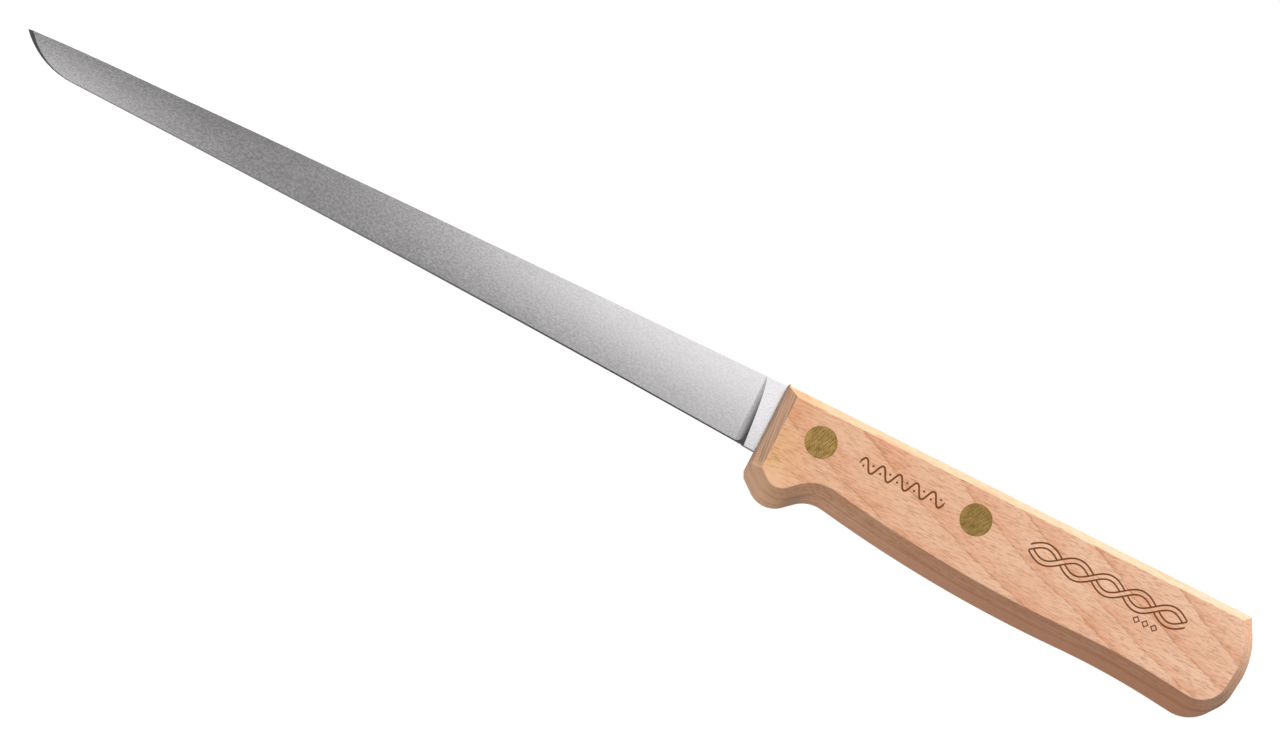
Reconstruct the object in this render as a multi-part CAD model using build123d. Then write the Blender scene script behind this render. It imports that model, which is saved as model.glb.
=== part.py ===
from build123d import *
from math import isclose, pi, tan
import os

# Fillet knife, lying on the flat side of its handle. Millimetres.
# It is drawn with x = 0 at the foot of the handle's front, the blade running to -X and the butt to +X,
# y = 0 at the top of the handle's back, the cutting edge towards -Y, and z = 0 in the middle of the blade.
# At the end the whole knife is moved so that the middle of its box's underside is the origin.

# Blade
blade_length = 203.2
heel_depth = 18.3
spine_thickness = 1.6
tip_thickness = 0.65
thickness_behind_edge = 0.20
spine_set_down = 0.1
spine_turn_drop = 3.9
tip_drop = 5.0
belly_depth = 12.2
spine_bow = 0.35
edge_bow = 0.8
spine_turn_share = 0.885
belly_start_share = 0.923

# Grinding of the blade
plunge_distance = 5.5
plunge_radius = 5.2
bevel_distance = 3.6
bevel_angle = 16.0
edge_land = 0.04

# Tang, the part of the blade that the wood holds
tang_past_rear_rivet = 11.7
tang_heel_step = 0.8
tang_end_depth = 15.0
tang_end_radius = 4.0
slot_clearance = 0.05
slot_end_clearance = 0.8

# Handle
handle_length = 129.3
handle_depth = 28.7
handle_thickness = 17.0
back_crown = 1.1
back_bevel_depth = 2.1
front_set_back = 0.35
front_corner_cut = 1.0
front_bevel_width = 3.1
arris_bevel = 2.6
arris_softness = 0.35
rim_softness = 1.8

# Outline of the handle: how far along it and below its back each corner lies, before rounding.
# A rounded corner lies a little outside the wood.
foot_share = 0.821
back_end_share = 0.966
handle_corner_shares = (
    (0.063, 1.050),  # heel
    (0.134, 0.763),  # neck
    (0.427, 0.967),  # belly
    (0.776, 0.931),  # start of the swell
    (0.985, 1.031),  # lower corner of the butt
    (1.006, 0.363),  # butt
)
# How much of the shorter of its two sides each of those corners gives up to its arc
handle_round_shares = (0.58, 0.30, 0.79, 0.47, 0.48, 0.61)

# Rivets, each a stud with a solid shank and a socket with a tube
rivet_names = ("front", "rear")
front_rivet_distance = 13.2
rivet_pitch = 41.6
rivet_depth = 10.7
rivet_head_diameter = 8.0
rivet_head_thickness = 2.2
rivet_tube_diameter = 4.8
rivet_shank_diameter = 3.2
rivet_shank_gap = 1.0
rivet_fit_clearance = 0.02
rivet_seat_clearance = 0.04
tang_hole_clearance = 0.1

overrun = 5.0


def corner_radius(before, corner, after, round_share):
    """Radius of the arc that takes round_share of the shorter side at a corner."""
    side_in = Vector(corner) - Vector(before)
    side_out = Vector(after) - Vector(corner)
    turn = side_in.get_angle(side_out) * pi / 180
    return round_share * min(side_in.length, side_out.length) / tan(turn / 2)


def front_line():
    """Foot of the handle's front and the direction down along it: its top stands back a little."""
    foot = Vector(0, -handle_depth * foot_share)
    return foot, (foot - Vector(front_set_back, 0)).normalized()


def handle_outline(back_height):
    """Side view of the handle as a face, with its back at the given height."""
    lean_share = back_end_share - handle_corner_shares[-1][0]
    butt_depth = handle_depth * handle_corner_shares[-1][1]
    back_end = handle_length * (back_end_share + lean_share * back_height / butt_depth)
    shaped = [(handle_length * along, -handle_depth * down) for along, down in handle_corner_shares]
    foot, down = front_line()
    front_top = foot + down * ((back_height - foot.Y) / down.Y)
    to_heel = (Vector(shaped[0]) - foot).normalized()
    corners = [front_top, foot - down * front_corner_cut, foot + to_heel * front_corner_cut]
    corners += shaped + [(back_end, back_height)]
    radii = [0, 0, 0]
    for place, round_share in enumerate(handle_round_shares, start=len(radii)):
        before, corner, after = corners[place - 1:place + 2]
        radii.append(corner_radius(before, corner, after, round_share))
    radii.append(0)
    return make_face(FilletPolyline(*corners, radius=radii, close=True))


def crown_strip():
    """Shallow arch that rounds the handle's back across its thickness, sunk into the wood below."""
    half_flat = handle_thickness / 2 - arris_bevel
    left = (-back_crown, -half_flat)
    right = (-back_crown, half_flat)
    arch = ThreePointArc(left, (0, 0), right)
    foot = Polyline(right, (-arris_bevel, half_flat), (-arris_bevel, -half_flat), left)
    strip = extrude(Plane.YZ * make_face(arch + foot), amount=handle_length)
    return strip & extrude(handle_outline(0), amount=handle_thickness / 2, both=True)


def bevel_wedge(rim_place, run):
    """Section of what an upper bevel takes off, from its rim at rim_place inwards by run and up to the side."""
    rim = Vector(rim_place, handle_thickness / 2 - arris_bevel)
    slope = Vector(run, arris_bevel).normalized()
    outer = rim - slope * overrun
    inner = rim + slope * handle_depth
    return make_face(Polyline(outer, inner, (outer.X, inner.Y), close=True))


def front_bevel_cut():
    """What the upper bevel of the front takes off: a wedge that leans as the front does."""
    foot, down = front_line()
    above = Plane(origin=foot - down * 2 * handle_depth, x_dir=(-down.Y, down.X, 0), z_dir=down)
    return extrude(above * bevel_wedge(0, front_bevel_width), amount=3 * handle_depth)


def back_bevel_cut():
    """What the upper bevel of the back takes off: a wedge along the whole handle."""
    wedge = bevel_wedge(-back_crown, -back_bevel_depth)
    return extrude(Plane.YZ * wedge, amount=handle_length + overrun, both=True)


def handle_blank():
    """Beech blank: the outline with bevelled arrises, bevels of their own at front and back, and a crowned back."""
    blank = extrude(handle_outline(-back_crown), amount=handle_thickness / 2, both=True)
    sides = blank.faces().sort_by(Axis.Z)
    arrises = sides[0].edges() + sides[-1].edges()
    both_sides = 2
    front_arrises = arrises.sort_by(Axis.X)[:both_sides]
    back_arrises = arrises.sort_by(Axis.Y)[-both_sides:]
    blank = chamfer([edge for edge in arrises if edge not in front_arrises + back_arrises], arris_bevel)
    for cut in (front_bevel_cut(), back_bevel_cut()):
        blank -= cut
        blank -= mirror(cut, about=Plane.XY)
    return blank + crown_strip()


def arrises_at(blank, level):
    """The edges that run round the blank at this height above and below its middle."""
    return [edge for edge in blank.edges() if isclose(abs(edge.center().Z), level, rel_tol=1e-6)]


def soften_arrises(blank):
    """Take the sharpness off the arrises at both ends of the bevels, more of it at the rim than at the sides."""
    blank = fillet(arrises_at(blank, handle_thickness / 2 - arris_bevel), rim_softness)
    return fillet(arrises_at(blank, handle_thickness / 2), arris_softness)


def tang_outline(side_gap, end_gap, top):
    """Side view of the tang as a face, widened by the gaps, with its upper side at the given height."""
    front_depth = heel_depth - tang_heel_step + side_gap
    end_depth = tang_end_depth + side_gap
    end = rivet_places()[-1][0] + tang_past_rear_rivet + end_gap
    corners = [(0, top), (0, -front_depth), (end, -end_depth), (end, top)]
    return make_face(FilletPolyline(*corners, radius=[0, 0, tang_end_radius, 0], close=True))


def rivet_places():
    """Centres of the rivets in side view."""
    return [
        (front_rivet_distance + number * rivet_pitch, -rivet_depth)
        for number in range(len(rivet_names))
    ]


def rivet_holes(radius, length):
    """Round holes right through, one for each rivet."""
    return [Pos(x, y, 0) * Cylinder(radius, length) for x, y in rivet_places()]


def make_handle():
    """The handle with its saw slot for the tang and its stepped rivet holes."""
    handle = soften_arrises(handle_blank())
    slot_face = tang_outline(slot_clearance, slot_end_clearance, overrun)
    slot_width = spine_thickness + 2 * slot_clearance
    handle -= extrude(slot_face, amount=slot_width / 2, both=True)
    head_radius = rivet_head_diameter / 2 + rivet_seat_clearance
    handle -= rivet_holes(rivet_tube_diameter / 2 + rivet_seat_clearance, handle_thickness + overrun)
    seat_height = handle_thickness / 2 - rivet_head_thickness
    for x, y in rivet_places():
        seat = Cylinder(head_radius, rivet_head_thickness + overrun, align=(Align.CENTER, Align.CENTER, Align.MIN))
        handle -= Pos(x, y, seat_height) * seat
        handle -= Pos(x, y, -seat_height) * Rot(180, 0, 0) * seat
    return handle


def spine_and_edge():
    """The curves of the blade's outline: its spine to the tip, its belly and its edge to the heel."""
    turn_x = -blade_length * spine_turn_share
    belly_x = -blade_length * belly_start_share
    spine_start = (0, -spine_set_down)
    spine_turn = (turn_x, -spine_turn_drop)
    spine_middle = (turn_x / 2, -(spine_set_down + spine_turn_drop) / 2 + spine_bow)
    heel = (0, -heel_depth)
    belly = (belly_x, -belly_depth)
    edge_middle = (belly_x / 2, -(heel_depth + belly_depth) / 2 + edge_bow)
    tip = (-blade_length, -tip_drop)
    spine = ThreePointArc(spine_start, spine_middle, spine_turn)
    nose = TangentArc(spine_turn, tip, tangent=spine % 1)
    edge = ThreePointArc(heel, edge_middle, belly)
    curve = TangentArc(belly, tip, tangent=edge % 1)
    return spine, nose, curve, edge


def blade_outline():
    """Side view of the blade in front of the handle, as a face."""
    spine, nose, curve, edge = spine_and_edge()
    front = Line(edge @ 0, spine @ 0)
    return make_face([spine, nose, curve, edge, front])


def grinding_wheel():
    """The metal that grinding takes off one side: a slab on the ground flat, with a rounded end."""
    spine_point = Vector(-plunge_distance, 0, spine_thickness / 2)
    tip_point = Vector(-blade_length, -tip_drop, tip_thickness / 2)
    edge_point = Vector(-plunge_distance, -heel_depth, thickness_behind_edge / 2)
    up = (spine_point - edge_point).normalized()
    out = (tip_point - spine_point).cross(edge_point - spine_point).normalized()
    length = blade_length + overrun
    height = heel_depth + 2 * overrun
    slab = Box(length, height, plunge_radius + overrun, align=(Align.MAX, Align.MAX, Align.MIN))
    slab = Pos(plunge_radius, overrun, 0) * slab
    run_out = slab.edges().filter_by(Axis.Y).group_by(Axis.Z)[0].sort_by(Axis.X)[-1]
    slab = fillet(run_out, plunge_radius)
    return Plane(origin=spine_point, x_dir=up.cross(out), z_dir=out) * slab


def edge_wedge():
    """A body with the blade's cutting edge as its sharp rim, tall enough to leave the spine alone."""
    spine, nose, curve, edge = spine_and_edge()
    tip = curve @ 1
    beyond_tip = tip + (curve % 1) * overrun
    top_left = Vector(beyond_tip.X, overrun)
    top_right = Vector(overrun, overrun)
    low_right = edge @ 0 + (edge % 0) * -overrun
    rim = Polyline(tip, beyond_tip, top_left, top_right, low_right, edge @ 0)
    face = make_face([curve, edge] + rim.edges())
    land = extrude(face, amount=edge_land / 2, both=True)
    # A body with a taper grows away from its face's normal, which is downwards here.
    lower = extrude(Pos(0, 0, -edge_land / 2) * face, amount=spine_thickness / 2, taper=90 - bevel_angle)
    return land + lower + mirror(lower, about=Plane.XY)


def make_blade():
    """The blade, ground on both sides and sharpened, with its tang and the tang's rivet holes."""
    steel = extrude(blade_outline(), amount=spine_thickness / 2, both=True)
    wheel = grinding_wheel()
    steel -= wheel
    steel -= mirror(wheel, about=Plane.XY)
    unsharpened = Box(
        bevel_distance + overrun, heel_depth + 2 * overrun, spine_thickness + overrun,
        align=(Align.MIN, Align.MAX, Align.CENTER),
    )
    steel &= edge_wedge() + Pos(-bevel_distance, overrun, 0) * unsharpened
    steel += extrude(tang_outline(0, 0, -spine_set_down), amount=spine_thickness / 2, both=True)
    steel -= rivet_holes(rivet_tube_diameter / 2 + tang_hole_clearance, spine_thickness + overrun)
    return steel


def make_rivet_stud():
    """Stud half: a flat head, flush with the upper side, and a solid shank below it."""
    head_base = handle_thickness / 2 - rivet_head_thickness
    shank_length = 2 * head_base - rivet_shank_gap
    head = Pos(0, 0, head_base) * Cylinder(
        rivet_head_diameter / 2, rivet_head_thickness, align=(Align.CENTER, Align.CENTER, Align.MIN)
    )
    shank = Pos(0, 0, head_base) * Cylinder(
        rivet_shank_diameter / 2, shank_length, align=(Align.CENTER, Align.CENTER, Align.MAX)
    )
    return head + shank


def make_rivet_socket():
    """Socket half: a flat head, flush with the lower side, and a tube that ends under the stud's head."""
    head_base = handle_thickness / 2 - rivet_head_thickness
    head = Pos(0, 0, -head_base) * Cylinder(
        rivet_head_diameter / 2, rivet_head_thickness, align=(Align.CENTER, Align.CENTER, Align.MAX)
    )
    tube = Cylinder(rivet_tube_diameter / 2, 2 * head_base)
    bore = Cylinder(rivet_shank_diameter / 2 + rivet_fit_clearance, 2 * head_base)
    return head + (tube - bore)


def make_pieces():
    """Every piece of the knife under its name."""
    pieces = {"blade": make_blade(), "handle": make_handle()}
    for name, (x, y) in zip(rivet_names, rivet_places()):
        pieces[name + "_rivet_stud"] = Pos(x, y, 0) * make_rivet_stud()
        pieces[name + "_rivet_socket"] = Pos(x, y, 0) * make_rivet_socket()
    return pieces


pieces = make_pieces()
box = Compound(list(pieces.values())).bounding_box()
to_origin = Pos(-box.center().X, -box.center().Y, -box.min.Z)
os.makedirs("parts", exist_ok=True)
for name, piece in pieces.items():
    export_step(to_origin * piece, "parts/" + name + ".step")
print("knife", round(box.size.X, 2), "x", round(box.size.Y, 2), "x", round(box.size.Z, 2), "mm")
print("handle front is at x =", round(-box.center().X, 3), "and its back at y =", round(-box.center().Y, 3))
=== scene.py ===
# %% [markdown]
# A fillet knife lies on the flat side of its beech handle, seen almost from straight above. Its six
# pieces, the blade, the handle and two pairs of rivet halves, come ready made and to size, and this
# script gives them their finish, their light and the camera.
# It could rebuild each piece as a mesh of its own. The shapes that come in are already right, so the work
# goes into the materials instead: satin steel, sanded beech and sanded brass, all worked out from
# formulas.

# %% The packed knife
import bpy
import math
from mathutils import Matrix, Vector


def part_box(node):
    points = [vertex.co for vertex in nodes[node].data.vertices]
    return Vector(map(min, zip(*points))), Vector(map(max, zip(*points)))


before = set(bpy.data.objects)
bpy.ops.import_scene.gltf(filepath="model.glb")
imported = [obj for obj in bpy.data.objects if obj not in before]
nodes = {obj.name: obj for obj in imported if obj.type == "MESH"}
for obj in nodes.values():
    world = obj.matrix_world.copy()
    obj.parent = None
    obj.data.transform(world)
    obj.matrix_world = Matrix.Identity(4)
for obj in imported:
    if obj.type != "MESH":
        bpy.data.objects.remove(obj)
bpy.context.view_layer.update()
print("pieces:", ", ".join(sorted(nodes)))

# %% [markdown]
# The finishes are placed from the pieces themselves. The handle's box gives its front, its back and its
# middle, and each rivet's box gives the centre of its round head. These places could be typed in as
# numbers. Read from the boxes, they follow when the handle or a rivet moves.

# %% Places on the knife
MM = 0.001
handle_low, handle_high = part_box("handle")
handle_front = handle_low.x
handle_back = handle_high.y
handle_middle = (handle_low.z + handle_high.z) / 2
half_thickness = (handle_high.z - handle_low.z) / 2 / MM


def rivet_centre(node):
    """Middle of a rivet head, in millimetres along the handle and above its back."""
    low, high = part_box(node)
    centre = (low + high) / 2
    return (centre.x - handle_front) / MM, (centre.y - handle_back) / MM


front_rivet = rivet_centre("front_rivet_stud")
rear_rivet = rivet_centre("rear_rivet_stud")
print("rivets", [round(value, 1) for value in front_rivet + rear_rivet], "mm from front and back")

# %% [markdown]
# A material is a chain of small sums: how far along the grain, how far from a line, lighter here, darker
# there. Such sums can be clicked together node by node. Written as Python expressions they stay short and
# readable, so one small class wraps an output socket and turns + - * / into Math nodes. Any other node
# comes from its node method, which sets the node's settings first and then its inputs.


# %% Sums on sockets
class Wire:
    """An output socket of a material. Arithmetic on wires that carry numbers adds Math nodes."""

    def __init__(self, tree, socket):
        self.tree = tree
        self.socket = socket

    def node(self, kind, settings=None, inputs=None, output=0):
        """Add a node, give it its settings, then its inputs, and return one of its outputs."""
        made = self.tree.nodes.new(kind)
        for name, value in (settings or {}).items():
            setattr(made, name, value)
        for name, value in (inputs or {}).items():
            if isinstance(value, Wire):
                self.tree.links.new(value.socket, made.inputs[name])
            else:
                made.inputs[name].default_value = value
        return Wire(self.tree, made.outputs[output])

    def math(self, operation, *values):
        """A Math node on the given values, in their order."""
        return self.node("ShaderNodeMath", {"operation": operation}, dict(enumerate(values)))

    def __add__(self, other):
        return self.math("ADD", self, other)

    def __radd__(self, other):
        return self.math("ADD", other, self)

    def __sub__(self, other):
        return self.math("SUBTRACT", self, other)

    def __rsub__(self, other):
        return self.math("SUBTRACT", other, self)

    def __mul__(self, other):
        return self.math("MULTIPLY", self, other)

    def __rmul__(self, other):
        return self.math("MULTIPLY", other, self)

    def __truediv__(self, other):
        return self.math("DIVIDE", self, other)

    def __rtruediv__(self, other):
        return self.math("DIVIDE", other, self)

    def __abs__(self):
        return self.math("ABSOLUTE", self)

    def sin(self):
        return self.math("SINE", self)

    def cos(self):
        return self.math("COSINE", self)

    def root(self):
        return self.math("SQRT", self)

    def part(self):
        """What is left of a number after its whole part, from 0 to 1."""
        return self.math("FRACT", self)

    def most(self, other):
        return self.math("MAXIMUM", self, other)

    def step(self, none, full):
        """0 at none, 1 at full and a soft step between them, whichever of the two is the larger."""
        inputs = {"Value": self, "From Min": none, "From Max": full}
        return self.node("ShaderNodeMapRange", {"interpolation_type": "SMOOTHSTEP"}, inputs)


print("a wire can", ", ".join(name for name in vars(Wire) if not name.startswith("_")))

# %% [markdown]
# All three finishes are solid patterns: they are worked out from where a point lies in the piece, so they
# run through its edges as real grain does and need no unwrapping. The pattern space is in millimetres,
# and begins at the handle's front, its back and the middle of its thickness. Image textures would have to
# be unwrapped and would show their seams at every edge. Where a finish gives a pair of numbers for a soft
# step, what it sets is absent at the first and full at the second.


# %% Pattern space
def new_material(name):
    """An empty material with a Principled shader. Returns it, the shader and a first wire."""
    material = bpy.data.materials.new(name)
    material.use_nodes = True
    tree = material.node_tree
    shader = tree.nodes["Principled BSDF"]
    return material, shader, Wire(tree, shader.outputs[0])


def axis(wire, name):
    """One of the three numbers, X, Y or Z, of a wire that carries a place or a direction."""
    return wire.node("ShaderNodeSeparateXYZ", inputs={0: wire}, output=name)


def knife_space(start):
    """Three wires in millimetres: along the knife, above its back and above the middle of its thickness."""
    place = start.node("ShaderNodeTexCoord", output="Object")
    x = (axis(place, "X") - handle_front) / MM
    y = (axis(place, "Y") - handle_back) / MM
    z = (axis(place, "Z") - handle_middle) / MM
    return x, y, z


def facing(start):
    """The direction that the surface of the piece faces, 1 long."""
    return start.node("ShaderNodeTexCoord", output="Normal")


def scaled(place, size):
    """A place given as three wires or numbers, counted in units of the given size."""
    units = [value / unit for value, unit in zip(place, size)]
    start = next(value for value in units if isinstance(value, Wire))
    return start.node("ShaderNodeCombineXYZ", inputs=dict(enumerate(units)))


print("patterns start at", [round(value, 4) for value in (handle_front, handle_back, handle_middle)], "m")

# %% [markdown]
# Every finish needs the same few things: cloudy noise of a given size, a mix of two colours, a link into
# the shader, a relief, and its place on its pieces. They could be written out each time. As helpers they
# are written once, and a finish then reads like a recipe.


# %% Shared helpers
def noise(place, size, detail=2.0, roughness=0.5):
    """Cloudy values around 0.5, whose blobs have the given size in millimetres along x, y and z."""
    blobs = scaled(place, size)
    inputs = {"Vector": blobs, "Scale": 1.0, "Detail": detail, "Roughness": roughness}
    return blobs.node("ShaderNodeTexNoise", inputs=inputs)


def mix(factor, below, above):
    """A colour between two colours, by a wire from 0 to 1."""
    return factor.node("ShaderNodeMix", {"data_type": "RGBA"}, {0: factor, 6: below, 7: above}, output=2)


def connect(wire, shader, name):
    """Lead a wire into one of the shader's inputs."""
    wire.tree.links.new(wire.socket, shader.inputs[name])


def relief(height, depth):
    """A normal from a height wire, where a height of 1 stands depth millimetres proud."""
    return height.node("ShaderNodeBump", inputs={"Strength": 1.0, "Distance": depth * MM, "Height": height})


def dress(names, material):
    """Give the named pieces a material."""
    for name in names:
        slots = nodes[name].material_slots
        if not slots:
            nodes[name].data.materials.append(material)
        for slot in slots:
            slot.material = material
    print(material.name, "on", ", ".join(names))


print("helpers: noise, mix, connect, relief, dress")

# %% [markdown]
# The blade is stainless steel, ground and then finished by a fine abrasive, so it is satin: it shows no
# clear picture of the room, only a soft change from light to dark. Up close it is mottled by tiny
# overlapping marks, which show most near the tip.
# A plain roughness would look like paint. Here a fine noise sets the roughness, and a relief of a few
# thousandths of a millimetre breaks up the light, drawn out a little along the way the abrasive ran. The
# same relief crowns the side by a tenth of a millimetre, because grinding leaves no side quite flat. Two
# places are picked out by the way their surface faces, and both get painted shade in their colour: the
# narrow wall under the blade is painted dark, and where the grinding wheel ran out, by the handle, the
# steel is coarser, with painted shade that grows darker the steeper it stands.

# %% Satin steel
STEEL_TINT = (0.72, 0.705, 0.715, 1.0)
STEEL_SHADE = (0.53, 0.515, 0.525, 1.0)
# STEEL_WALL_SHADE is painted shade for the wall under the blade and the steep run-out
STEEL_WALL_SHADE = (0.07, 0.068, 0.07, 1.0)
MOTTLE_SIZE = (0.65, 0.45, 0.45)
MOTTLE_RANGE = (0.38, 0.62)
MOTTLE_DEPTH = 0.006
MOTTLE_AT_TIP = 0.75
MOTTLE_CALMED = 0.40
CALMED_STRETCH = (-110.0, -15.0)
HAZE_SIZE = (6.0, 4.0, 4.0)
HAZE_TONE = 0.2
PLAIN_TONE = 0.4
BLADE_MIDDLE = 9.2
BLADE_NARROWING = 0.0064
BLADE_CROWN = 0.11
PLAIN_ROUGHNESS = 0.125
MOTTLE_ROUGHNESS = 0.08
HAZE_ROUGHNESS = 0.05
RUN_OUT_ROUGHNESS = 0.26
RUN_OUT_STRETCH = (-9.0, -7.0)
RUN_OUT_COARSE = (-0.02, -0.12)
RUN_OUT_SHADE_FACING = (-0.06, -0.42)
RUN_OUT_SHADE = 0.84
WALL_FACING = (-0.6, -0.9)


def satin_steel():
    """Mottled steel, slightly crowned, with painted shade on its lower wall and its coarse run-out by the
    handle.
    """
    material, shader, start = new_material("satin_steel")
    x, y, z = knife_space(start)
    mottle = noise((x, y, z), MOTTLE_SIZE, detail=3.0, roughness=0.65)
    haze = noise((x, y, z), HAZE_SIZE)
    contrast = MOTTLE_AT_TIP - x.step(*CALMED_STRETCH) * MOTTLE_CALMED
    tone = (mottle.step(*MOTTLE_RANGE) - 0.5) * contrast + haze * HAZE_TONE + PLAIN_TONE
    # Painted shade: the wall under the blade and the steep part of the run-out are darkened in the colour
    painted_wall_shade = axis(facing(start), "Y").step(*WALL_FACING)
    towards_tip = axis(facing(start), "X")
    by_handle = x.step(*RUN_OUT_STRETCH)
    coarse = towards_tip.step(*RUN_OUT_COARSE) * by_handle
    dark = towards_tip.step(*RUN_OUT_SHADE_FACING) * by_handle * RUN_OUT_SHADE
    connect(mix(painted_wall_shade.most(dark), mix(tone, STEEL_SHADE, STEEL_TINT), STEEL_WALL_SHADE), shader, "Base Color")
    fine = mottle * MOTTLE_ROUGHNESS + haze * HAZE_ROUGHNESS
    connect(fine + coarse * RUN_OUT_ROUGHNESS + PLAIN_ROUGHNESS, shader, "Roughness")
    shader.inputs["Metallic"].default_value = 1.0
    across = (y + BLADE_MIDDLE + x * BLADE_NARROWING) / BLADE_MIDDLE
    height = mottle * (MOTTLE_DEPTH / BLADE_CROWN) - across * across
    connect(relief(height, BLADE_CROWN), shader, "Normal")
    return material


dress(["blade"], satin_steel())

# %% [markdown]
# The rivet heads are brass, sanded flush together with the wood, so their scratches are short and cross
# in a few directions, and the metal has gone a little dull and olive. One head is a little darker than
# the other, and its scratches are turned by a few degrees. Scratches could be drawn as curves, one by
# one. Noise that is drawn out very long one way gives as many as are needed: three such fields, each
# turned by its own angle, lie over one another.

# %% Sanded brass
BRASS_TINT = (0.535, 0.343, 0.12, 1.0)
BRASS_SHADE = (0.13, 0.08, 0.02, 1.0)
BRASS_PATCH_SIZE = (2.2, 2.2, 2.2)
SCRATCH_SIZE = (2.6, 0.26, 1.0)
SCRATCH_RANGE = (0.36, 0.62)
SCRATCH_DEPTH = 0.02
SCRATCH_TONE, PATCH_TONE = 0.65, 0.35
BRASS_ROUGHNESS, SCRATCH_ROUGHNESS, PATCH_ROUGHNESS = 0.33, 0.25, 0.1
# Each field's turn against the main scratches in degrees, its layer of the noise, and its share
SCRATCH_FIELDS = ((0, 3.0, 0.55), (50, 8.0, 0.25), (-65, 14.0, 0.20))
# Each rivet's place, the angle of its main scratches in degrees, and how much darker it is, from 0 to 1
RIVETS = {"front": (front_rivet, 66, 0.0), "rear": (rear_rivet, 58, 0.25)}


def scratches(x, y, angle, layer):
    """Long thin marks that run at an angle, in degrees, to the knife."""
    turn = math.radians(angle)
    along = x * math.cos(turn) + y * math.sin(turn)
    across = y * math.cos(turn) - x * math.sin(turn)
    return noise((along, across, layer), SCRATCH_SIZE, detail=1.0)


def sanded_brass(name, centre, angle, darkening):
    """Brass for one rivet, with the pattern turned about the middle of its head."""
    material, shader, start = new_material(name)
    x, y, z = knife_space(start)
    x = x - centre[0]
    y = y - centre[1]
    fields = [scratches(x, y, angle + turn, layer) * share for turn, layer, share in SCRATCH_FIELDS]
    marks = fields[0] + fields[1] + fields[2]
    patch = noise((x, y, z), BRASS_PATCH_SIZE)
    tone = (marks.step(*SCRATCH_RANGE) * SCRATCH_TONE + patch * PATCH_TONE) * (1 - darkening)
    connect(mix(tone, BRASS_SHADE, BRASS_TINT), shader, "Base Color")
    connect(marks * SCRATCH_ROUGHNESS + patch * PATCH_ROUGHNESS + BRASS_ROUGHNESS, shader, "Roughness")
    shader.inputs["Metallic"].default_value = 1.0
    connect(relief(marks, SCRATCH_DEPTH), shader, "Normal")
    return material


for end, (centre, angle, darkening) in RIVETS.items():
    brass = sanded_brass(end + "_brass", centre, angle, darkening)
    dress([end + "_rivet_stud", end + "_rivet_socket"], brass)

# %% [markdown]
# The handle is beech, sanded and left bare. Its growth rings are nearly parallel to the flat sides, so on
# a side each ring shows as a long slanting line with a soft darker shore, while the back, the underside
# and the ends show the same rings as fine stripes. Drawing each side by itself would break the lines at
# every edge. Instead one number carries all of this: how far a point is from the tree's heart. It grows
# with height above the middle, and slowly along the knife, bending towards the lower edge. Towards the
# middle of the handle the lines lie first further apart and then closer, as good and lean years leave
# them.

# %% Growth rings of the beech
RING_WIDTH = 0.8
RING_REACH = 22.6
RING_START = -13.0
SLANT = 1.6
BEND = 0.03
SHIFT_FULL = 35.0
SHIFT_END = 75.0
SHIFT_YEARS = 0.41
WAVER_SIZE = (26.0, 9.0, 8.0)
WAVER_REACH = 5.0
SHIVER_SIZE = (4.0, 1.1, 1.1)
SHIVER_REACH = 4.5


def heart_distance(x, y, z):
    """Millimetres from the tree's heart, less a constant: height plus a slow rise along a bent slant."""
    down = abs(y)
    waver = (noise((x, y, z), WAVER_SIZE, detail=1.0) - 0.5) * WAVER_REACH
    shiver = (noise((x, y, z), SHIVER_SIZE, detail=3.0, roughness=0.6) - 0.5) * SHIVER_REACH
    slant = x - down * SLANT - down * down * BEND + waver + shiver
    shift = slant.step(RING_START, SHIFT_FULL) * slant.step(SHIFT_END, SHIFT_FULL) * SHIFT_YEARS
    years = (slant - RING_START) / RING_REACH - shift
    return years * RING_WIDTH + (z - half_thickness)


print("growth rings", RING_WIDTH, "mm wide, on the side one to every", RING_REACH, "mm")

# %% [markdown]
# Burnt ornaments decorate the upper side. The first, between the rivets, is a wave with a dot inside each
# of its bows. It could be an image or a thin raised curve. As a formula it stays sharp at any size and
# lies in the wood, as a burn does. A curve is drawn where the distance to it is less than half the line's
# width. That distance is nearly the height above the curve, divided by the root of one plus the slope
# squared.

# %% Burnt wave
STROKE_RIM = 0.07
SOFT_RIM = 0.05
SWAP = (-0.02, 0.02)
WAVE_START, WAVE_END = 23.6, 46.3
WAVE_COUNT = 5
WAVE_HEIGHT = 1.55
WAVE_STROKE_HALF = 0.24
DOT_EDGE = (0.34, 0.22)
DOT_DROP = 0.32


def stroke(distance, half_width):
    """1 within half_width millimetres of where distance is 0, fading over a soft rim."""
    return abs(distance).step(half_width + STROKE_RIM, half_width - STROKE_RIM)


def between(x, low, high):
    """1 between low and high, fading over a soft rim."""
    return x.step(low - SOFT_RIM, low + SOFT_RIM) * x.step(high + SOFT_RIM, high - SOFT_RIM)


def wave(x, y):
    """The curve y = WAVE_HEIGHT * sin(angle), with a dot inside each of its bows."""
    period = (WAVE_END - WAVE_START) / WAVE_COUNT
    pace = 2 * math.pi / period
    angle = (x - WAVE_START) * pace
    slope = angle.cos() * (WAVE_HEIGHT * pace)
    gap = (y - angle.sin() * WAVE_HEIGHT) / (slope * slope + 1.0).root()
    side = angle.sin().step(*SWAP) * 2.0 - 1.0
    dot_x = (((x - WAVE_START) / (period / 2)).part() - 0.5) * (period / 2)
    dot_y = y + side * (WAVE_HEIGHT * DOT_DROP)
    dot = (dot_x * dot_x + dot_y * dot_y).root().step(*DOT_EDGE)
    return stroke(gap, WAVE_STROKE_HALF).most(dot) * between(x, WAVE_START, WAVE_END)


print("wave of", WAVE_COUNT, "periods over", round(WAVE_END - WAVE_START, 1), "mm")

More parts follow.
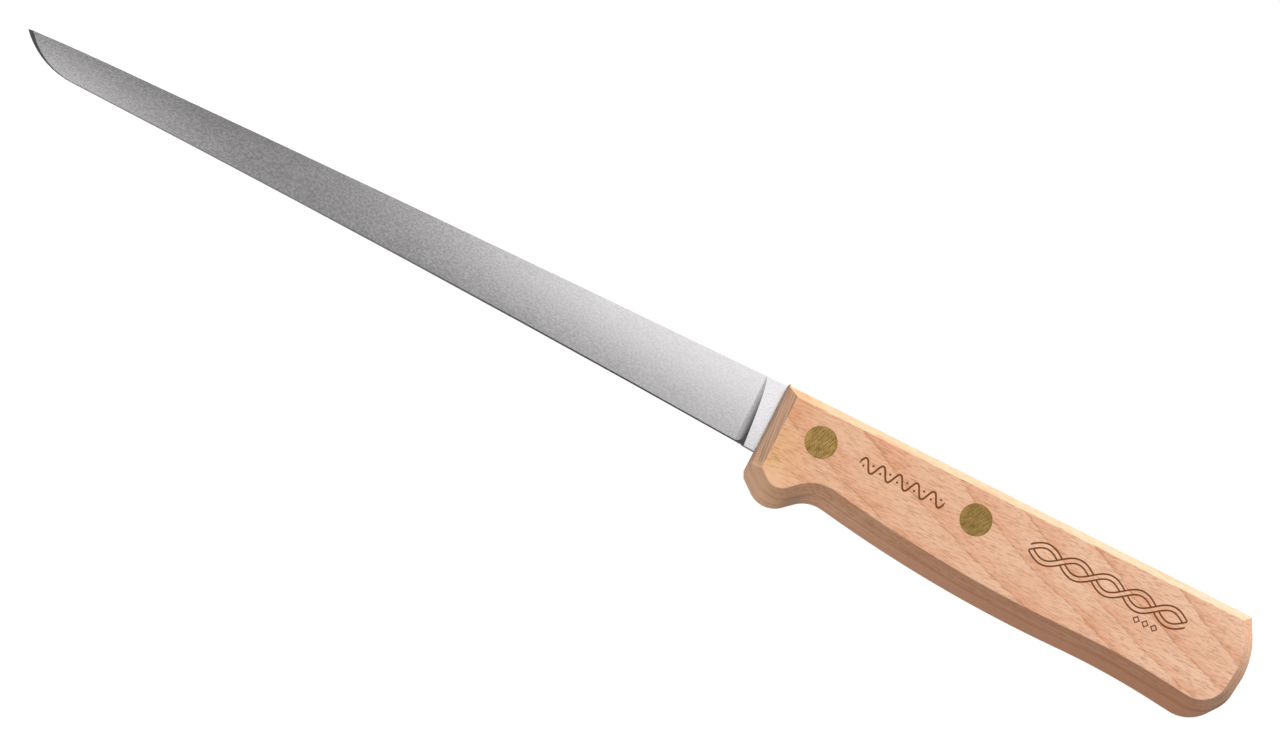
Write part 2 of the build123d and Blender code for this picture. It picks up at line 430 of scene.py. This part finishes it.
# %% [markdown]
# Near the butt lies a braid of two strands, with small lozenges in a row under its end. A braid could be
# two cords laid over one another. Burnt flat, it is one wave and the same wave upside down, each drawn as
# the two rims of its strand, and where they cross, the strand on top hides the other's rims.

# %% Burnt braid and lozenges
BRAID_START, BRAID_END = 69.2, 111.2
BRAID_COUNT = 5
BRAID_HEIGHT = 2.05
STRAND_HALF = 0.62
STRAND_EDGE = (STRAND_HALF - SOFT_RIM, STRAND_HALF + SOFT_RIM)
STROKE_HALF = 0.21
LOZENGE_START, LOZENGE_END = 98.6, 105.6
LOZENGE_COUNT = 3
LOZENGE_HALF = 0.8
LOZENGE_DROP = 4.3
BURN_FADE, BURN_FULL = 0.6, 0.3
ornament_level = (front_rivet[1] + rear_rivet[1]) / 2


def braid(x, y):
    """Two outlined strands, y = BRAID_HEIGHT * sin(angle) and its mirror, each over the other in turn."""
    pace = math.pi * BRAID_COUNT / (BRAID_END - BRAID_START)
    angle = (x - BRAID_START) * pace
    slope = angle.cos() * (BRAID_HEIGHT * pace)
    steep = (slope * slope + 1.0).root()
    swing = angle.sin() * BRAID_HEIGHT
    first = abs((y - swing) / steep)
    second = abs((y + swing) / steep)
    first_on_top = angle.cos().step(*SWAP)
    first_line = stroke(first - STRAND_HALF, STROKE_HALF)
    second_line = stroke(second - STRAND_HALF, STROKE_HALF)
    first_seen = first_line * (first_on_top + (1 - first_on_top) * second.step(*STRAND_EDGE))
    second_seen = second_line * ((1 - first_on_top) + first_on_top * first.step(*STRAND_EDGE))
    return first_seen.most(second_seen) * between(x, BRAID_START, BRAID_END)


def lozenges(x, y):
    """Small outlined lozenges in a row: a line where the ways along and up add up to LOZENGE_HALF."""
    pitch = (LOZENGE_END - LOZENGE_START) / LOZENGE_COUNT
    across = (((x - LOZENGE_START) / pitch).part() - 0.5) * pitch
    reach = abs(across) + abs(y + LOZENGE_DROP)
    return stroke(reach - LOZENGE_HALF, STROKE_HALF) * between(x, LOZENGE_START, LOZENGE_END)


def ornaments(x, y, z):
    """All that is burnt into the upper side, 0 to 1."""
    level = y - ornament_level
    drawn = wave(x, level).most(braid(x, level)).most(lozenges(x, level))
    return drawn * z.step(half_thickness - BURN_FADE, half_thickness - BURN_FULL)


print("braid over", round(BRAID_END - BRAID_START, 1), "mm,", round(-ornament_level, 1), "mm from the back")

# %% [markdown]
# Beech has more marks than its rings: fine fibres along the grain, short dark flecks where its rays are
# cut across, and slow changes of tone. A painted texture would show its repeats. Here the flecks are the
# cells of a Voronoi pattern squeezed into thin needles, of which only some are dark, and all else is
# noise of several sizes, from fibres a quarter of a millimetre thick to clouds as long as a thumb is
# wide. The colours go over one another from the broadest to the finest, as a painter's glazes do.

# %% Long grain
BEECH_LEFT = (0.90, 0.53, 0.33, 1.0)
BEECH_RIGHT = (0.97, 0.62, 0.43, 1.0)
BEECH_HONEY = (0.87, 0.49, 0.22, 1.0)
BEECH_SHADE = (0.82, 0.37, 0.21, 1.0)
BEECH_LINE = (0.56, 0.25, 0.125, 1.0)
BEECH_RED = (0.78, 0.34, 0.15, 1.0)
BEECH_FLECK = (0.50, 0.21, 0.095, 1.0)
BEECH_PALE = (0.95, 0.64, 0.42, 1.0)
FRONT_TO_BUTT = (5.0, 125.0)
HONEY_PATCH = ((18.0, 3.0), (-8.0, -13.0))
RED_PATCH = ((14.0, 4.0), (-10.5, -7.0))
LATE_WOOD = (0.60, 0.0)
RIM_AFTER = (0.07, 0.0)
RIM_BEFORE = (0.985, 1.0)
RIM_GAPS = (0.30, 0.55)
CLOUD_SIZE = (16.0, 5.0, 5.0)
CLOUD_RANGE = (0.44, 0.62)
PATCHY_SIZE = (7.0, 1.6, 1.6)
PATCHY_RANGE = (0.46, 0.64)
DARK_FIBRES = (0.50, 0.64)
PALE_FIBRES = (0.48, 0.36)
FLECK_SIZE = (2.2, 0.24, 3.0)
FLECK_EDGE = (0.42, 0.18)
FLECK_CHANCE = (0.55, 0.90)
# How deeply each mark or glaze colours the wood, from 0 to 1
LATE_DEPTH, CLOUD_DEPTH, PATCHY_DEPTH, LEAST_DEPTH = 0.44, 0.26, 0.22, 0.05
SHADE_DEPTH, SHADE_LESS_IN_HONEY = 0.9, 0.55
HONEY_DEPTH, RED_DEPTH = 0.8, 0.5
RIM_DEPTH, FIBRE_DEPTH, FLECK_DEPTH, PALE_DEPTH = 0.6, 0.45, 0.34, 0.35


def flecks(place):
    """Short dark needles along the grain, 0 to 1."""
    needles = scaled(place, FLECK_SIZE)
    inputs = {"Vector": needles, "Scale": 1.0, "Randomness": 1.0}
    gap = needles.node("ShaderNodeTexVoronoi", inputs=inputs, output="Distance")
    cell = needles.node("ShaderNodeTexVoronoi", inputs=inputs, output="Color")
    return gap.step(*FLECK_EDGE) * axis(cell, "X").step(*FLECK_CHANCE)


def patch(x, y, along, above):
    """A soft-edged patch of wood, by a pair of places along the knife and a pair above its back."""
    return x.step(*along) * y.step(*above)


def long_grain(place, heart, fibres, fleck):
    """Colour of the wood where it is cut along its grain."""
    x, y, z = place
    ring = (heart / RING_WIDTH).part()
    cloud = noise(place, CLOUD_SIZE, detail=3.0)
    patchy = noise(place, PATCHY_SIZE)
    honey = patch(x, y, *HONEY_PATCH)
    shade = ring.step(*LATE_WOOD) * LATE_DEPTH + cloud.step(*CLOUD_RANGE) * CLOUD_DEPTH
    shade = shade + patchy.step(*PATCHY_RANGE) * PATCHY_DEPTH + LEAST_DEPTH
    rim = (ring.step(*RIM_AFTER) + ring.step(*RIM_BEFORE)) * patchy.step(*RIM_GAPS)
    colour = mix(x.step(*FRONT_TO_BUTT), BEECH_LEFT, BEECH_RIGHT)
    colour = mix(honey * HONEY_DEPTH, colour, BEECH_HONEY)
    colour = mix(shade * (SHADE_DEPTH - honey * SHADE_LESS_IN_HONEY), colour, BEECH_SHADE)
    colour = mix(rim * RIM_DEPTH, colour, BEECH_LINE)
    colour = mix(patch(x, y, *RED_PATCH) * RED_DEPTH, colour, BEECH_RED)
    colour = mix(fibres.step(*DARK_FIBRES) * FIBRE_DEPTH + fleck * FLECK_DEPTH, colour, BEECH_FLECK)
    return mix(fibres.step(*PALE_FIBRES) * PALE_DEPTH, colour, BEECH_PALE)


print("flecks", FLECK_SIZE[0], "by", FLECK_SIZE[1], "mm, clouds", CLOUD_SIZE[0], "by", CLOUD_SIZE[1], "mm")

# %% [markdown]
# End grain is darker than long grain, because light sinks into its open pores. The underside gets a
# deeper, redder tone, which is painted shade. Each could be a material of its own on faces picked by
# hand. The surface's own direction picks them by itself: end grain shows where a face looks along the
# knife, and the painted shade where it looks away from the back. Two places get painted light instead:
# the curve of the heel is painted lighter, and there and at the crown of the butt the darker end grain is
# mostly left out.

# %% Beech
# BEECH_PAINTED_HEEL_LIGHT and the heel and butt patches are painted light
BEECH_PAINTED_HEEL_LIGHT = (1.0, 0.61, 0.39, 1.0)
# BEECH_UNDER_SHADE is painted shade, darker and redder, for the faces that look away from the back
BEECH_UNDER_SHADE = (0.62, 0.27, 0.14, 1.0)
END_GRAIN = (0.66, 0.42, 0.285, 1.0)
END_LINE = (0.26, 0.14, 0.085, 1.0)
BURNT = (0.20, 0.055, 0.014, 1.0)
HEEL_LIGHT_PATCH = ((14.0, 5.0), (-20.0, -24.0))
BUTT_LIGHT_PATCH = ((110.0, 122.0), (-27.0, -11.0))
END_FACING = (0.35, 0.75)
END_RING_WIDTH = 0.55
END_RING_EDGE = (0.50, 0.90)
END_STRIPES = (0.44, 0.58)
UNDER_FACING = (-0.3, -1.0)
UNDER_STRIPES = (0.47, 0.60)
UNDER_SHADE_STRETCH = (-10.0, 75.0)
UNDER_SHADE_BUTT_STRETCH = (70.0, 115.0)
STRIPE_SIZE = (30.0, 16.0, 0.42)
FIBRE_SIZE = (2.2, 0.28, 0.28)
HEEL_PAINTED_LIGHT, BUTT_PAINTED_LIGHT = 0.7, 0.85
END_RING_DEPTH, END_STRIPE_DEPTH, END_LESS_UNDER = 0.40, 0.40, 0.5
# The first two set how deep the underside's painted shade goes
UNDER_SHADE_DEPTH, UNDER_SHADE_BUTT_DEPTH, UNDER_STRIPE_DEPTH = 0.8, 0.14, 0.45
BEECH_GLOSS = 0.25
BEECH_ROUGHNESS, FIBRE_ROUGHNESS, BURNT_ROUGHNESS = 0.56, 0.14, 0.2
# Millimetres for a relief of 1, and how far each mark stands proud or lies sunk in it
GRAIN_DEPTH = 0.05
FIBRE_PROUD, STRIPE_PROUD, FLECK_SUNK, BURNT_SUNK = 0.6, 0.15, 0.2, 0.8


def end_grain(heart, stripes, under):
    """Colour of the wood where it is cut across its grain."""
    rings = (heart / END_RING_WIDTH).part().step(*END_RING_EDGE)
    lines = rings * END_RING_DEPTH + stripes.step(*END_STRIPES) * END_STRIPE_DEPTH
    return mix(lines * (1 - under * END_LESS_UNDER), END_GRAIN, END_LINE)


def beech():
    """Sanded beech: long grain, painted heel light, end grain, painted underside shade, burnt ornaments, in
    order.
    """
    material, shader, start = new_material("beech")
    place = x, y, z = knife_space(start)
    heart = heart_distance(x, y, z)
    stripes = noise((x, y, heart), STRIPE_SIZE, roughness=0.6)
    fibres = noise(place, FIBRE_SIZE, detail=3.0, roughness=0.6)
    fleck = flecks(place)
    burnt = ornaments(x, y, z)
    # Painted light: the heel's curve is painted lighter, and there and at the butt's crown the darker end
    # grain is mostly left out
    heel = patch(x, y, *HEEL_LIGHT_PATCH) * HEEL_PAINTED_LIGHT
    painted_butt_light = patch(x, y, *BUTT_LIGHT_PATCH) * BUTT_PAINTED_LIGHT
    end = abs(axis(facing(start), "X")).step(*END_FACING) * (1 - painted_butt_light) * (1 - heel)
    under = axis(facing(start), "Y").step(*UNDER_FACING)
    under_shade_depth = x.step(*UNDER_SHADE_STRETCH) * UNDER_SHADE_DEPTH + x.step(*UNDER_SHADE_BUTT_STRETCH) * UNDER_SHADE_BUTT_DEPTH
    colour = mix(heel, long_grain(place, heart, fibres, fleck), BEECH_PAINTED_HEEL_LIGHT)
    colour = mix(end, colour, end_grain(heart, stripes, under))
    colour = mix(under * stripes.step(*UNDER_STRIPES) * UNDER_STRIPE_DEPTH, colour, BEECH_FLECK)
    # Painted shade on the underside, deeper towards the butt
    colour = mix(under * under_shade_depth, colour, BEECH_UNDER_SHADE)
    connect(mix(burnt, colour, BURNT), shader, "Base Color")
    connect(BEECH_ROUGHNESS + fibres * FIBRE_ROUGHNESS + burnt * BURNT_ROUGHNESS, shader, "Roughness")
    shader.inputs["Specular IOR Level"].default_value = BEECH_GLOSS
    height = fibres * FIBRE_PROUD + stripes * STRIPE_PROUD - fleck * FLECK_SUNK - burnt * BURNT_SUNK
    connect(relief(height, GRAIN_DEPTH), shader, "Normal")
    return material


dress(["handle"], beech())

# %% [markdown]
# The knife lies in the open on a pale sheet. A sheet that was plain white would throw its light up under
# the bevels and wash them out. This one is white to the camera, but gives the knife no more light than a
# grey one.

# %% Floor
WHITE = (1.0, 1.0, 1.0, 1.0)
FLOOR_SIZE = 9.0
FLOOR_TINT = (0.12, 0.12, 0.12, 1.0)
FLOOR_ROUGHNESS = 0.9
FLOOR_GLOSS = 0.1
FLOOR_GLOW = 0.97
FLOOR_BOUNCE = (0.50, 0.50, 0.50, 1.0)


def pale_floor():
    """A plain sheet at the height the knife rests on. It looks white, but lights the knife only a little."""
    mesh = bpy.data.meshes.new("floor")
    half = FLOOR_SIZE / 2
    corners = [(-half, -half, 0), (half, -half, 0), (half, half, 0), (-half, half, 0)]
    mesh.from_pydata(corners, [], [(0, 1, 2, 3)])
    floor = bpy.data.objects.new("floor", mesh)
    bpy.context.scene.collection.objects.link(floor)
    material, shader, start = new_material("floor")
    shader.inputs["Base Color"].default_value = FLOOR_TINT
    shader.inputs["Roughness"].default_value = FLOOR_ROUGHNESS
    shader.inputs["Specular IOR Level"].default_value = FLOOR_GLOSS
    seen = start.node("ShaderNodeLightPath", output="Is Camera Ray")
    connect(mix(seen, FLOOR_BOUNCE, WHITE), shader, "Emission Color")
    shader.inputs["Emission Strength"].default_value = FLOOR_GLOW
    mesh.materials.append(material)


pale_floor()
print("floor", FLOOR_SIZE, "m square")

# %% [markdown]
# The key light is a large soft panel behind the back of the knife, tilted down on it: it brightens the
# bevel along the back and leaves the lower bevel in shade. A small panel fills in from the tip's side.
# One lamp would be simpler, but steel shows mostly what it mirrors. So two rows of panels hang level
# above the knife, bright over the handle and dim over the blade, and the steel fades from light at the
# heel to grey further out. The last panel of the near row is bright again for the tip, and one more hangs
# in front for the sharpened edge to mirror. The rest is a dim even sky. Pale walls round the horizon show
# in gloss alone, and keep the steel from turning black when it is looked at from the side.

# %% Light
# Each standing panel's place, width and height in metres, and radiance. Both face the middle of the knife.
STANDING_PANELS = {
    "key_panel": ((0.15, 1.48, 0.72), 1.5, 1.2, 7.1),
    "fill_panel": ((-0.60, -0.90, 0.60), 0.5, 0.5, 5.5),
}
CEILING = 1.15
NEAR_ROW = (-0.06, 0.185)
FAR_ROW = (0.185, 0.62)
# Where each pair of ceiling panels begins and ends along the knife, and the near and the far one's radiance
CEILING_PANELS = {
    "heel": (0.0, 0.85, 0.64, 1.36),
    "middle": (-0.105, 0.0, 0.24, 1.34),
    "grey": (-0.20, -0.105, 0.19, 0.42),
    "dark": (-0.30, -0.20, 0.26, 0.06),
    "tip": (-0.46, -0.30, 1.30, 0.10),
}
EDGE_PANEL = (-0.46, -0.165, -0.70, -0.12, 0.28)
SKY = (0.10, 0.10, 0.10, 1.0)
WALL_RISE = (0.85, 0.55)
WALL_LIGHT = 0.50
WALL_CHANGE = 0.20


def panel(name, place, width, height, radiance, aim=(0.0, 0.0, 0.0)):
    """A soft panel at a place in metres, facing its aim, as bright as radiance all over."""
    data = bpy.data.lights.new(name, "AREA")
    data.shape = "RECTANGLE"
    data.size = width
    data.size_y = height
    data.energy = radiance * math.pi * width * height
    light = bpy.data.objects.new(name, data)
    light.location = place
    light.rotation_euler = (Vector(aim) - Vector(place)).to_track_quat("-Z", "Y").to_euler()
    bpy.context.scene.collection.objects.link(light)
    print(name, "at", [round(value, 2) for value in place], "gives", round(data.energy, 1), "W")


def ceiling_panel(name, left, right, low, high, radiance):
    """A panel that hangs level, between left and right along the knife and low and high behind its back."""
    place = ((left + right) / 2, (low + high) / 2, CEILING)
    below = (place[0], place[1], 0.0)
    panel(name, place, right - left, high - low, radiance, below)


def studio_sky():
    """A dim even sky, with pale walls round the horizon that gloss alone sees, lighter towards the butt."""
    world = bpy.data.worlds.new("sky")
    world.use_nodes = True
    background = world.node_tree.nodes["Background"]
    start = Wire(world.node_tree, background.outputs[0])
    towards = start.node("ShaderNodeTexCoord", output="Generated")
    gloss = start.node("ShaderNodeLightPath", output="Is Glossy Ray")
    light = axis(towards, "X") * WALL_CHANGE + WALL_LIGHT
    walls = axis(towards, "Z").step(*WALL_RISE) * light * gloss
    connect(mix(walls, SKY, WHITE), background, "Color")
    bpy.context.scene.world = world


for name, (place, width, height, radiance) in STANDING_PANELS.items():
    panel(name, place, width, height, radiance)
for name, (left, right, near, far) in CEILING_PANELS.items():
    ceiling_panel(name + "_near", left, right, *NEAR_ROW, near)
    ceiling_panel(name + "_far", left, right, *FAR_ROW, far)
ceiling_panel("edge", *EDGE_PANEL)
studio_sky()
bpy.context.scene.view_settings.view_transform = "Standard"

# %% [markdown]
# The camera looks down 13 degrees off the vertical, from the side of the cutting edge, with a long lens
# from about a metre away. It is rolled so that the knife runs from the upper left to the lower right of
# the picture. Its angles could be turned in by hand. Worked out from the lean and the roll, its three
# axes leave nothing to guess.

# %% Camera
LEAN = math.radians(13.0)
ROLL = math.radians(26.6)
DISTANCE = 0.968
FOCAL_LENGTH = 112.5
SENSOR_WIDTH = 36.0
TARGET = Vector((0.0042, 0.0, 0.0085))


def photograph_camera():
    """A camera whose own axes are worked out from its lean and roll."""
    data = bpy.data.cameras.new("camera")
    data.sensor_fit = "HORIZONTAL"
    data.sensor_width = SENSOR_WIDTH
    data.lens = FOCAL_LENGTH
    camera = bpy.data.objects.new("camera", data)
    towards = Vector((0, -math.sin(LEAN), math.cos(LEAN)))
    level_up = Vector((0, math.cos(LEAN), math.sin(LEAN)))
    level_right = Vector((1, 0, 0))
    right = level_right * math.cos(ROLL) + level_up * math.sin(ROLL)
    up = level_up * math.cos(ROLL) - level_right * math.sin(ROLL)
    turn = Matrix((right, up, towards)).transposed().to_4x4()
    camera.matrix_world = Matrix.Translation(TARGET + towards * DISTANCE) @ turn
    bpy.context.scene.collection.objects.link(camera)
    bpy.context.scene.camera = camera
    print("camera", round(camera.location.length, 3), "m from the knife")


photograph_camera()

# %% [markdown]
